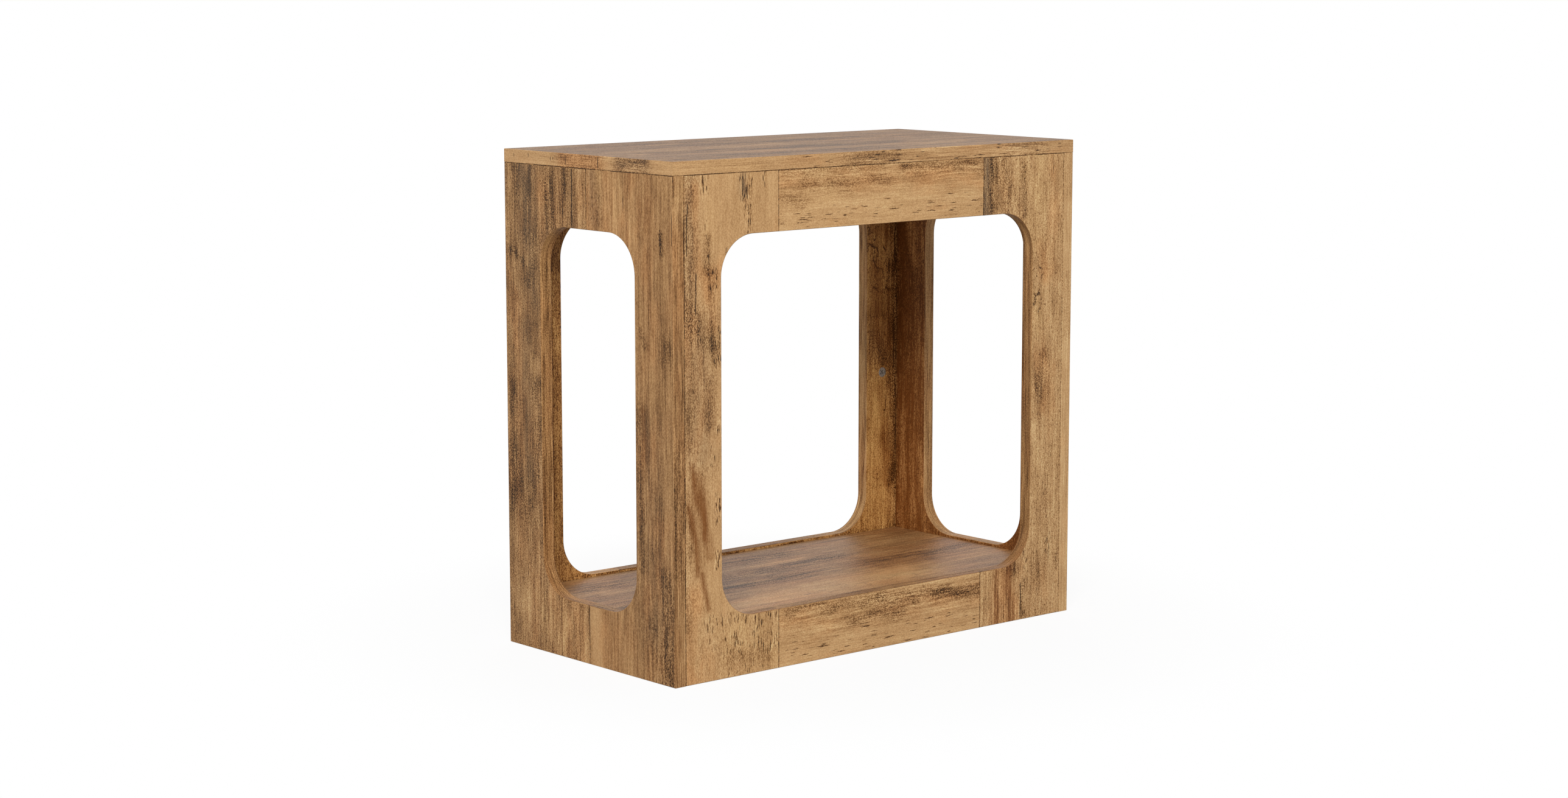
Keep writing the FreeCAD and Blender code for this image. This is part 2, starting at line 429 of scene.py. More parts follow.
@dataclass(frozen=True)
class WoodPrint:
    """The printed wood of one board: its seed, its darkness, its figure and its cracks."""

    seed: float
    tone: float = 0.28
    # Darkness of the edges: partly the edge band's own tone and partly painted shade on the edges.
    edge_tone: float = 0.6
    figure: Figure = Figure(lines=0.3, pores=0.2, speckle=0.3)
    edge_figure: Figure = Figure(stain=0.15, lines=0.7, edge=1.0, rust=0.4, gold=1.15)
    checks: tuple[Check, ...] = ()
    roughness: float = 0.5
    gloss: float = 0.2
    shades: tuple[Colour, ...] = (
        (228, 195, 143), (205, 163, 114), (178, 136, 90), (141, 102, 63), (97, 65, 34), (46, 28, 11))
    red: Colour = (142, 86, 38)
    weathered: Colour = (112, 92, 71)
    golden: Tint = (1.0, 1.0, 0.95, 1.0)
    neutral: Tint = (0.99, 0.99, 0.98, 1.0)
    deep_print_and_bounce_tint: Tint = (1.1, 0.97, 0.66, 1.0)
    rusty: Tint = (1.05, 0.93, 0.83, 1.0)

    def cracks(self, spot: Spot) -> Value:
        """Thin dark lines along the grain that taper and wander a little: 1 in a crack and 0 beside it."""
        along = spot.along
        place = spot.across + WANDER.at(spot).swing(0.0022)
        frayed = FRAYED.at(spot) + 0.4
        total = along * 0.0
        for check in self.checks:
            low = check.low * MM + check.step
            high = check.high * MM + check.step
            taper = min(0.006, (high - low) / 3)
            slope = check.lean * MM / (high - low)
            middle = (along - low) * slope + (check.across * MM + check.step)
            inside = along.band(low, low + taper) * (1 - along.band(high - taper, high))
            thickness = inside * frayed * check.half_width * MM
            total = total.most((thickness - abs(place - middle)).band(-0.0002, 0.0003))
        return total

    def dashes(self, spot: Spot, density: Value, size: float) -> Value:
        """Short dark pores along the grain, one to a cell of a stretched Voronoi pattern.

        Args:
            spot: place on the print.
            density: share of the cells that hold a pore.
            size: length of the longest pore, in metres.

        Returns:
            1 in a pore and 0 beside it.
        """
        graph = spot.along.graph
        lengthwise = spot.along * (0.4 / size) + self.seed
        sideways = spot.across * (3.0 / size) + self.seed * 2
        place = graph.vector(lengthwise, sideways)
        inputs = {"Vector": place, "Scale": 1.0, "Randomness": 1.0}
        cells = graph.node("ShaderNodeTexVoronoi", {"voronoi_dimensions": "2D", "feature": "F1"}, inputs)
        apart = {"Vector": place, "Vector_001": cells.outputs["Position"]}
        lie, aside, _ = graph.parts(graph.vector_math("SUBTRACT", apart))
        chance, stretch, girth = graph.parts(cells.outputs["Color"])
        ragged = RAGGED.at(spot).swing(0.5)
        length = stretch * 0.24 + 0.08
        width = girth * 0.1 + 0.05
        reach = lie * lie / (length * length)
        spread = (aside + ragged) * (aside + ragged) / (width * width)
        body = 1 - (reach + spread).band(0.3, 1.4)
        return body * (density - chance).band(0.0, 0.2)

    def crazing(self, spot: Spot, weight: Value) -> Value:
        """Broken net of fine cracks: the borders of warped Voronoi cells, where a slow noise lets them show.

        Args:
            spot: place on the print.
            weight: how much of the net shows.

        Returns:
            1 in a crack and 0 beside it.
        """
        graph = spot.along.graph
        warp = WARP.at(spot).swing(1.3)
        place = graph.vector(spot.along * 70 + warp, spot.across * 105 - warp, self.seed)
        inputs = {"Vector": place, "Scale": 1.0, "Randomness": 1.0}
        settings = {"voronoi_dimensions": "2D", "feature": "DISTANCE_TO_EDGE"}
        border = graph.value("ShaderNodeTexVoronoi", settings, inputs)
        shown = SHOWN.at(spot) + weight * 0.22
        return (1 - border.band(0.03, 0.13)) * shown.band(0.6, 0.72) * weight.band(0.05, 0.3)

    def build(self, name: str) -> bpy.types.Material:
        """Make the material: every layer of the figure adds to one darkness, which picks the shade.

        Broad bands, straight grain lines, hairlines, clouds and flecks come first, then the painted stains
        and painted shade, stippled by the flecks, then ticks, pores and cracks. Flames lean the shade to red,
        weathering to grey, and a slow noise tints the wood between gold and rust; past a gold of 1 the deep
        tint partly paints the warm light bounced inside the table.

        Args:
            name: the material's name.

        Returns:
            The material.
        """
        material, g = new_material(name)
        uv = g.node("ShaderNodeUVMap", {"uv_map": "Grain"}, {})
        along, across, _ = g.parts(uv.outputs["UV"])
        painted = []
        for layer in PAINT_LAYERS:
            outputs = g.node("ShaderNodeAttribute", {"attribute_name": layer}, {}).outputs
            painted += [*g.parts(outputs["Vector"]), Value(g, outputs["Alpha"])]
        stained, burnt, paled, crazed, lined, pored, speckled, edge, ticked, greyed, rusted, gilded = painted

        spot = Spot(along, across, self.seed)
        bent = spot.aside(SWAY.at(spot).swing(0.009)).aside(WAVE.at(spot).swing(0.0022))
        bands, line, hair, smear = (weave.at(bent).swing() for weave in (BANDS, LINE, HAIR, SMEAR))
        cloud = CLOUD.at(spot).swing()
        fleck = FLECK.at(spot).band(0.34, 0.66).swing()
        stroke = STROKE.at(spot)
        scratch = SCRATCH.at(spot).band(0.52, 0.68)

        # On the edges the darkness moves to the edge tone, which partly paints shade.
        darkness = edge * (self.edge_tone - self.tone) + self.tone
        darkness = darkness + bands * 0.12 + cloud * (speckled * 0.22 + 0.08) + hair * (lined * 0.25 + 0.08)
        darkness = darkness + line * (lined * 0.5 + 0.06) + fleck * (speckled * 0.08 + 0.06)
        darkness = darkness + scratch * (speckled * 0.26 + 0.02)
        darkness = darkness - paled * 0.25 - gilded * 0.08 + rusted * 0.08
        stipple = (smear * 1.1 + cloud * 0.5 + fleck * 0.3 + hair * 0.3 + 0.45) * stained
        darkness = darkness + stipple.most(0.0) * 0.7
        scorch = (line * 0.7 + smear * 0.4 + hair * 0.4 + 0.8) * burnt
        darkness = darkness + scorch * 0.36
        tick_seen = ticked.band(0.05, 0.4)
        dark_tick = (stroke + ticked * 0.14).band(0.64, 0.73) * tick_seen
        light_tick = (1 - stroke + ticked * 0.08).band(0.62, 0.76) * tick_seen
        darkness = darkness - light_tick * 0.16
        long_pores = self.dashes(spot, pored, LONG_PORE)
        short_pores = self.dashes(spot.aside(SHORT_PORE_SHIFT), pored * 0.8, SHORT_PORE)
        pits = long_pores.most(short_pores).most(dark_tick) * 0.85
        pits = pits.most(self.crazing(spot, crazed))
        if self.checks:
            pits = pits.most(self.cracks(spot))
        darkness = darkness + pits * 0.7

        count = len(self.shades) - 1
        ramp = g.node("ShaderNodeValToRGB", {}, {"Fac": darkness})
        stops = ramp.color_ramp.elements
        for k in range(1, count):
            stops.new(k / count)
        for stop, shade in zip(stops, self.shades):
            stop.color = linear(shade)
        colour = g.blend(scorch.most(0.0) * 0.5, ramp.outputs["Color"], linear(self.red))
        weather = greyed * (0.55 + hair * 0.4 + line * 0.4 - fleck * 0.15)
        colour = g.blend(weather.most(0.0), colour, linear(self.weathered))
        hue = HUE.at(spot).swing(2.2)
        tint = g.blend((hue + gilded).band(0.0, 1.0), self.neutral, self.golden)
        tint = g.blend((rusted - hue).band(0.0, 1.0), tint, self.rusty)
        # Past a gold of 1 the deep tint warms the colour: partly the print, partly painted warm light bounced
        # inside the table.
        tint = g.blend((gilded - 1).band(0.0, 1.0), tint, self.deep_print_and_bounce_tint)
        colour = g.vector_math("MULTIPLY", {"Vector": colour, "Vector_001": tint})
        height = hair * 0.1 + fleck * 0.3 + (1 - pits) * 0.4
        roughness = self.roughness + fleck * 0.06 + stained * 0.05
        g.surface({"Base Color": colour, "Roughness": roughness, "Normal": g.bump(height, GRAIN_DEPTH),
                   "Specular IOR Level": self.gloss})
        return material


@dataclass(frozen=True)
class CastZinc:
    """Dull cast zinc of the cam locks: grey metal with a cloudy, slightly pitted skin."""

    # The warm cast of these two greys partly paints the reflection of the warm wood round the cams.
    grey: Colour = (186, 178, 168)
    shade: Colour = (132, 125, 116)
    pit_depth: float = 0.00004

    def build(self, name: str) -> bpy.types.Material:
        """Make the material from two sizes of noise in Object coordinates."""
        material, g = new_material(name)
        cloudy = g.object_noise(350.0, 3.0)
        pitted = g.object_noise(2400.0, 2.0)
        colour = g.blend(cloudy.band(0.35, 0.7), linear(self.grey), linear(self.shade))
        colour = g.vector_math("SCALE", {"Vector": colour, "Scale": 0.9 + pitted * 0.2})
        g.surface({"Base Color": colour, "Roughness": 0.36 + cloudy * 0.2, "Metallic": 0.4,
                   "Normal": g.bump(pitted, self.pit_depth)})
        return material


@dataclass(frozen=True)
class PlatedSteel:
    """Bright zinc plate of the bolts, softly mottled and finely grained."""

    bright: Colour = (190, 192, 192)
    tint: Colour = (168, 166, 152)
    grain_depth: float = 0.00002

    def build(self, name: str) -> bpy.types.Material:
        """Make the material from two sizes of noise in Object coordinates."""
        material, g = new_material(name)
        soft = g.object_noise(200.0, 2.0)
        fine = g.object_noise(3000.0, 2.0)
        colour = g.blend(soft.band(0.35, 0.65), linear(self.bright), linear(self.tint))
        g.surface({"Base Color": colour, "Roughness": 0.22 + fine * 0.15, "Metallic": 1.0,
                   "Normal": g.bump(fine, self.grain_depth)})
        return material


@dataclass(frozen=True)
class BareBeech:
    """Bare beech of the dowels: pale, with fine flecks."""

    pale: Colour = (214, 180, 136)
    fleck: Colour = (178, 136, 92)
    grain_depth: float = 0.00008

    def build(self, name: str) -> bpy.types.Material:
        """Make the material from noise in Object coordinates."""
        material, g = new_material(name)
        grain = g.object_noise(700.0, 3.0, 0.6)
        colour = g.blend(grain.band(0.45, 0.7), linear(self.pale), linear(self.fleck))
        g.surface({"Base Color": colour, "Roughness": 0.6 + grain * 0.15,
                   "Normal": g.bump(grain, self.grain_depth)})
        return material


class Facing(Enum):
    """The way a board's outer face looks: two face axes, the thickness axis, whether depth runs up it."""

    FRONT = (0, 2, 1, True)
    BACK = (0, 2, 1, False)
    LEFT = (1, 2, 0, True)
    RIGHT = (1, 2, 0, False)
    TOP = (0, 1, 2, False)


class Side(Enum):
    """An edge of a board's face: its axis on the face, and whether it is the high one."""

    START = (0, False)
    END = (0, True)
    FOOT = (1, False)
    HEAD = (1, True)


class Grain(Enum):
    """Which face axis the printed grain follows."""

    FIRST = 0
    SECOND = 1


@dataclass
class Shell:
    """A board's mesh in the making: points with painted values, quads and pocket floors with grain places."""

    points: list[np.ndarray] = field(default_factory=list)
    values: list[np.ndarray] = field(default_factory=list)
    quads: list[np.ndarray] = field(default_factory=list)
    maps: list[np.ndarray] = field(default_factory=list)
    floors: list[np.ndarray] = field(default_factory=list)
    floor_maps: list[np.ndarray] = field(default_factory=list)
    total: int = 0

    def add_points(self, points: np.ndarray, values: np.ndarray) -> np.ndarray:
        """Take points and their painted values in, and give the points' numbers."""
        self.points.append(points)
        self.values.append(values)
        self.total += len(points)
        return np.arange(self.total - len(points), self.total)

    def add_quads(self, quads: np.ndarray, places: np.ndarray) -> None:
        """Take quads, shape (n, 4), and their corners' grain places, shape (n, 4, 2), in."""
        self.quads.append(quads)
        self.maps.append(places)

    def mesh(self, name: str) -> bpy.types.Mesh:
        """Make the mesh, its volume positive, with the grain map and three colour attributes.

        Args:
            name: the mesh's name.

        Returns:
            The mesh.
        """
        vertices = np.concatenate(self.points)
        quads = np.concatenate(self.quads)
        maps = np.concatenate(self.maps)
        floors = self.floors
        floor_maps = self.floor_maps
        a, b, c, d = (vertices[quads[:, k]] for k in range(4))
        if np.einsum("ij,ij->", a, np.cross(b, c) + np.cross(c, d)) < 0:
            quads = quads[:, ::-1]
            maps = maps[:, ::-1]
            floors = [floor[::-1] for floor in floors]
            floor_maps = [places[::-1] for places in floor_maps]
        mesh = bpy.data.meshes.new(name)
        mesh.from_pydata(vertices.tolist(), [], quads.tolist() + [floor.tolist() for floor in floors])
        grain = np.concatenate([maps.reshape(-1, 2), *floor_maps]).astype(np.float32)
        mesh.uv_layers.new(name="Grain").data.foreach_set("uv", grain.ravel())
        values = np.clip(np.concatenate(self.values), 0, STRONGEST).astype(np.float32)
        for layer, columns in zip(PAINT_LAYERS, np.split(values, len(PAINT_LAYERS), axis=1)):
            mesh.attributes.new(layer, "FLOAT_COLOR", "POINT").data.foreach_set("color", columns.ravel())
        mesh.shade_smooth()
        mesh.set_sharp_from_angle(angle=CREASE)
        mesh.validate()
        return mesh


@dataclass
class Board:
    """A flat board in place of one CAD board, with eased edges, cam pockets, and its print's marks and
    painted shade.
    """

    node: str
    facing: Facing
    grain: Grain
    slot: str
    finish: WoodPrint
    pockets: tuple[Point, ...] = ()
    outer_marks: Marks = ()
    inner_marks: Marks = ()
    edge_marks: Marks = ()
    inner_figure: Figure | None = None
    outer_joints: tuple[Side, ...] = ()
    inner_joints: tuple[Side, ...] = ()
    cell: float = 0.003
    arris: float = 0.0006
    arris_steps: int = 3
    edge_steps: int = 4
    pocket_radius: float = 0.0061
    pocket_depth: float = 0.0115
    pocket_margin: float = 0.0027
    # How much darker the arrises along joints are drawn.
    seam_dirt: float = 1.0
    low: np.ndarray = field(init=False)
    high: np.ndarray = field(init=False)
    origin: np.ndarray = field(init=False)

    def measure(self, table_low: np.ndarray) -> None:
        """Take the board's box from its CAD node, and the table's corner from which marks are placed."""
        low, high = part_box(self.node)
        self.low = np.array(low)
        self.high = np.array(high)
        self.origin = table_low[list(self.facing.value[:2])]

    def sheet(self, inset: float) -> np.ndarray:
        """Grid of points over the face: a rectangle drawn in by inset, shared out evenly both ways.

        Args:
            inset: distance that every edge moves in, in metres.

        Returns:
            Array of shape (stations, rungs, 2).
        """
        p, q = (self.spaced(self.low[axis], self.high[axis], inset) for axis in self.facing.value[:2])
        return np.stack(np.meshgrid(p, q, indexing="ij"), axis=-1)

    def spaced(self, start: float, end: float, inset: float = 0.0) -> np.ndarray:
        """Even steps of about one cell between two rising ends, drawn in; the inset keeps the count."""
        count = round((end - start) / self.cell) + 1
        return np.linspace(start + inset, end - inset, count)

    def rings(self) -> list[Point]:
        """Inset and depth of each ring round the edge: a quarter round, the flat edge and a quarter round."""
        thickness = self.high[self.facing.value[2]] - self.low[self.facing.value[2]]
        angle = np.linspace(0, np.pi / 2, self.arris_steps + 1)
        inset = self.arris * (1 - np.sin(angle))
        depth = self.arris * (1 - np.cos(angle))
        flat = np.linspace(self.arris, thickness - self.arris, self.edge_steps + 1)[1:-1]
        insets = np.concatenate([inset, flat * 0, inset[::-1]])
        depths = np.concatenate([depth, flat, (thickness - depth)[::-1]])
        return list(zip(insets, depths))

    def placed(self, flat: np.ndarray, depth: float) -> np.ndarray:
        """Points in the table's frame from face points, shape (n, 2), and depth under the outer face."""
        first, second, normal, rising = self.facing.value
        out = np.empty((len(flat), 3))
        out[:, first] = flat[:, 0]
        out[:, second] = flat[:, 1]
        out[:, normal] = self.low[normal] + depth if rising else self.high[normal] - depth
        return out

    def grain_place(self, flat: np.ndarray) -> np.ndarray:
        """Grain coordinates, along then across, of face points, counted in metres from the table's corner."""
        local = flat - self.origin
        return local if self.grain is Grain.FIRST else local[:, ::-1]

    def painted(self, flat: np.ndarray, figure: Figure, marks: Marks) -> np.ndarray:
        """The painted values at face points: the figure plus the marks, on places bent by slow noise.

        Args:
            flat: face points, shape (n, 2).
            figure: value of each tone where no mark lies.
            marks: the strokes.

        Returns:
            Array of shape (n, 12), one column to a tone.
        """
        mm = (flat - self.origin) / MM
        seed = int(self.finish.seed * 10)
        bends = [drift(mm[:, 0], mm[:, 1], cell, seed + k) - 0.5 for k, cell in enumerate(BEND_CELLS)]
        across, up = (mm[:, k] + BEND[k] * bends[k] for k in range(2))
        values = np.tile(np.array(astuple(figure)), (len(flat), 1))
        for mark in marks:
            values[:, mark.tone.value] += mark.paint(across, up)
        return values

    def inner_paint(self, flat: np.ndarray) -> np.ndarray:
        """The painted values at points of the inner face."""
        return self.painted(flat, self.inner_figure or self.finish.figure, self.inner_marks)

    def build(self) -> bpy.types.Object:
        """Make the closed mesh, its grain map and painted values, and stand it in for the CAD board.

        The outer and inner faces are the sheet drawn in by the arris, joined by the rings of its border.
        Where a cam sits, the inner face's quads are taken out and its border is joined to a round pocket.

        Returns:
            The board's object.
        """
        rings = self.rings()
        face = self.sheet(self.arris)
        turned = np.cross(face[1, 0] - face[0, 0], face[0, 1] - face[0, 0]) < 0
        flat = (face[::-1] if turned else face).reshape(-1, 2)
        index = np.arange(len(flat)).reshape(face.shape[:2])
        border = np.concatenate([index[:, 0], index[-1, 1:], index[-2::-1, -1], index[0, -2:0:-1]])
        corners = [index[:-1, :-1], index[1:, :-1], index[1:, 1:], index[:-1, 1:]]
        quads = np.stack(corners, axis=-1).reshape(-1, 4)
        grain = self.grain_place(flat)

        shell = Shell()
        shell.add_points(self.placed(flat, 0.0), self.painted(flat, self.finish.figure, self.outer_marks))
        loops = [border]
        for inset, depth in rings[1:-1]:
            grid = self.sheet(inset)
            ring = (grid[::-1] if turned else grid).reshape(-1, 2)[border]
            loops.append(shell.add_points(self.placed(ring, depth), self.edge_paint(ring, inset, depth)))
        inner = shell.add_points(self.placed(flat, rings[-1][1]), self.inner_paint(flat))
        loops.append(inner[border])
        shell.add_quads(quads[:, ::-1], grain[quads[:, ::-1]])
        shell.add_quads(*self.edge_quads(flat[border], loops, rings))
        kept = np.ones(len(quads), bool)
        for centre in self.pockets:
            kept &= ~self.sink_pocket(shell, np.array(centre) * MM + self.origin, flat, quads, inner)
        shell.add_quads(inner[quads[kept]], grain[quads[kept]] + INNER_STEP)

        name = self.node.replace("_panel", "_board").replace("_rail", "_rail_board")
        mesh = shell.mesh(name)
        mesh.materials.append(self.finish.build(f"{name}_print"))
        board = bpy.data.objects.new(name, mesh)
        bpy.context.scene.collection.objects.link(board)
        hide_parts(self.node)
        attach(board, BODY)
        LOG.info("%s: %d faces", name, len(mesh.polygons))
        return board

    def edge_paint(self, ring: np.ndarray, inset: float, depth: float) -> np.ndarray:
        """The painted values along a ring of the edge, with added darkness on an arris that meets another
        board.

        Args:
            ring: face points of the ring, shape (n, 2).
            inset: distance that the ring is drawn in.
            depth: depth of the ring under the outer face.

        Returns:
            Array of shape (n, 12).
        """
        values = self.painted(ring, self.finish.edge_figure, self.edge_marks)
        if inset > 0:
            joints = self.outer_joints if depth < self.arris else self.inner_joints
            # The arris along a joint is drawn darker, by the given weight.
            values[:, Tone.STAIN.value] += self.seam_dirt * self.joint_darkening(ring, joints)
        return values

    def sink_pocket(self, shell: Shell, hub: np.ndarray, flat: np.ndarray, quads: np.ndarray,
                    inner: np.ndarray) -> np.ndarray:
        """Add a round pocket: a mouth joined to the border of the opened quads, a wall and a floor.

        Args:
            shell: mesh that takes the pocket.
            hub: middle of the pocket on the face.
            flat: face points of the sheet.
            quads: quads of the sheet.
            inner: numbers of the inner face's points.

        Returns:
            For each quad, whether the pocket opens it.
        """
        inside = np.hypot(*(flat - hub).T) < self.pocket_radius + self.pocket_margin
        opened = inside[quads].any(axis=1)
        rim = np.unique(quads[opened])
        rim = rim[~inside[rim]]
        angle = np.arctan2(flat[rim, 1] - hub[1], flat[rim, 0] - hub[0])
        rim = rim[np.argsort(angle)]
        angle = np.sort(angle)
        circle = hub + self.pocket_radius * np.stack([np.cos(angle), np.sin(angle)], axis=-1)
        thickness = self.rings()[-1][1]
        paint = self.inner_paint(circle)
        mouth = shell.add_points(self.placed(circle, thickness), paint)
        foot = shell.add_points(self.placed(circle, thickness - self.pocket_depth), paint)
        after = np.roll(np.arange(len(rim)), -1)
        edge = inner[rim]
        around = self.grain_place(circle)
        beside = self.grain_place(flat[rim])
        shell.add_quads(np.stack([edge, edge[after], mouth[after], mouth], axis=-1),
                        np.stack([beside, beside[after], around[after], around], axis=1))
        shell.add_quads(np.stack([mouth, mouth[after], foot[after], foot], axis=-1),
                        np.stack([around, around[after], around[after], around], axis=1))
        shell.floors.append(foot)
        shell.floor_maps.append(around)
        return opened

    def joint_darkening(self, ring: np.ndarray, joints: tuple[Side, ...]) -> np.ndarray:
        """Darkness of an arris: 1 along the edges that meet another board and 0 along the free ones."""
        darkening = np.zeros(len(ring))
        for axis, high in (joint.value for joint in joints):
            bound = (self.high if high else self.low)[self.facing.value[axis]]
            darkening = np.maximum(darkening, (abs(ring[:, axis] - bound) < 2 * self.arris).astype(float))
        return darkening

    def edge_quads(self, border: np.ndarray, loops: list[np.ndarray],
                   rings: list[Point]) -> tuple[np.ndarray, np.ndarray]:
        """Quads between neighbouring rings, mapped by length along the border and by depth.

        Args:
            border: face points of the border, in order.
            loops: vertex numbers of each ring.
            rings: inset and depth of each ring.

        Returns:
            Quads, shape (n, 4), and their grain coordinates, shape (n, 4, 2).
        """
        step = np.hypot(*(np.roll(border, -1, axis=0) - border).T)
        start = np.concatenate([[0], np.cumsum(step)[:-1]])
        end = start + step
        shapes = []
        maps = []
        for k in range(len(loops) - 1):
            near, far = loops[k], loops[k + 1]
            shapes.append(np.stack([near, np.roll(near, -1), np.roll(far, -1), far], axis=-1))
            top = np.full(len(start), rings[k][1])
            base = np.full(len(start), rings[k + 1][1])
            corners = [(start, top), (end, top), (end, base), (start, base)]
            maps.append(np.stack([np.stack(corner, axis=-1) for corner in corners], axis=1) + EDGE_STEP)
        return np.concatenate(shapes), np.concatenate(maps)


@dataclass
class WindowBoard(Board):
    """A C-shaped board round half of a window: a stile, and a round corner and a horn at each end of it."""

    post: float = 0.0655
    outer_low: bool = True
    sill: float = 0.066
    head: float = 0.480
    radius: float = 0.045
    rungs: int = 23
    arc_margin: float = 0.03

    def sheet(self, inset: float) -> np.ndarray:
        """Grid of points over the C: rungs from the outer edge to the window edge.

        The rungs are upright in the horns, level in the stile and along the radii of the window's arc in the
        corners, with one rung in each corner aimed at the board's own corner.

        Args:
            inset: distance that every edge moves into the board, in metres.

        Returns:
            Array of shape (stations, rungs, 2).
        """
        first, second, _, _ = self.facing.value
        step = 1 if self.outer_low else -1
        outer = (self.low[first] if self.outer_low else self.high[first]) + step * inset
        seam = (self.high[first] if self.outer_low else self.low[first]) - step * inset
        edge = outer + step * (self.post - 2 * inset)
        hub = outer + step * (self.post - inset + self.radius)
        low_end = self.horn(outer, seam, hub, inset, self.low[second], self.sill, -1)
        top_end = self.horn(outer, seam, hub, inset, self.high[second], self.head, 1)
        rise = self.spaced(self.sill + self.radius, self.head - self.radius)[1:-1]
        stile = np.stack([np.stack([np.full(len(rise), at), rise], axis=-1) for at in (outer, edge)])
        sides = np.concatenate([low_end, stile, top_end[:, ::-1]], axis=1)
        share = np.linspace(0, 1, self.rungs)[None, :, None]
        return sides[0][:, None] * (1 - share) + sides[1][:, None] * share

    def horn(self, outer: float, seam: float, hub: float, inset: float, end: float, window: float,
             way: int) -> np.ndarray:
        """Outer and window points of one horn and its corner, from the seam to the stile.

        Args:
            outer: the stile's outer edge on the first axis.
            seam: the horns' free end on the first axis.
            hub: centre of the window's arc on the first axis.
            inset: distance that the edges have moved in.
            end: the board's edge on the second axis, before the inset.
            window: the window's edge on the second axis, before the inset.
            way: -1 for the lower horn, 1 for the upper.

        Returns:
            Array of shape (2, stations, 2): the outer points, then the window points.
        """
        centre = window - way * self.radius
        bound = end - way * inset
        reach = abs(hub - outer)
        drop = abs(bound - centre)
        corner = math.atan2(reach, drop)
        steps = round((self.radius + self.arc_margin) * math.pi / 4 / self.cell)
        angle = np.concatenate([np.linspace(0, corner, steps), np.linspace(corner, math.pi / 2, steps)[1:]])
        aim = np.stack([-np.sign(seam - outer) * np.sin(angle), way * np.cos(angle)], axis=-1)
        length = np.minimum(reach / np.maximum(np.sin(angle), 1e-9), drop / np.maximum(np.cos(angle), 1e-9))
        middle = np.array([hub, centre])
        run = np.linspace(seam, hub, round((abs(seam - hub) + inset) / self.cell))[:-1]
        straight = [np.stack([run, np.full(len(run), at)], axis=-1) for at in (bound, window + way * inset)]
        bend = [middle + length[:, None] * aim, middle + (self.radius + inset) * aim]
        return np.concatenate([straight, bend], axis=1)


def scattered(seed: int, low: Point, high: Point, count: int) -> Marks:
    """Random marks for a face that the photograph doesn't show: stains, rust, gold, speckle and ticks.

    Args:
        seed: picks the marks.
        low: lowest corner of the area, in millimetres.
        high: highest corner of the area, in millimetres.
        count: number of marks of each kind.

    Returns:
        The marks.
    """
    rng = np.random.default_rng(seed)
    marks = []
    kinds = ((Tone.STAIN, 9, 0.45), (Tone.RUST, 14, 0.6), (Tone.GOLD, 16, 0.6), (Tone.SPECKLE, 18, 0.5),
             (Tone.TICKS, 5, 0.8))
    for tone, width, weight in kinds:
        for start in rng.uniform(low, high, (count, 2)):
            reach = rng.normal((0, 0), (6, 40))
            share = rng.uniform(0.6, 1.2)
            end = start + (reach if high[1] - low[1] > high[0] - low[0] else reach[::-1])
            marks.append(Mark(tone, tuple(start), tuple(end), width * share, weight * share))
    return tuple(marks)


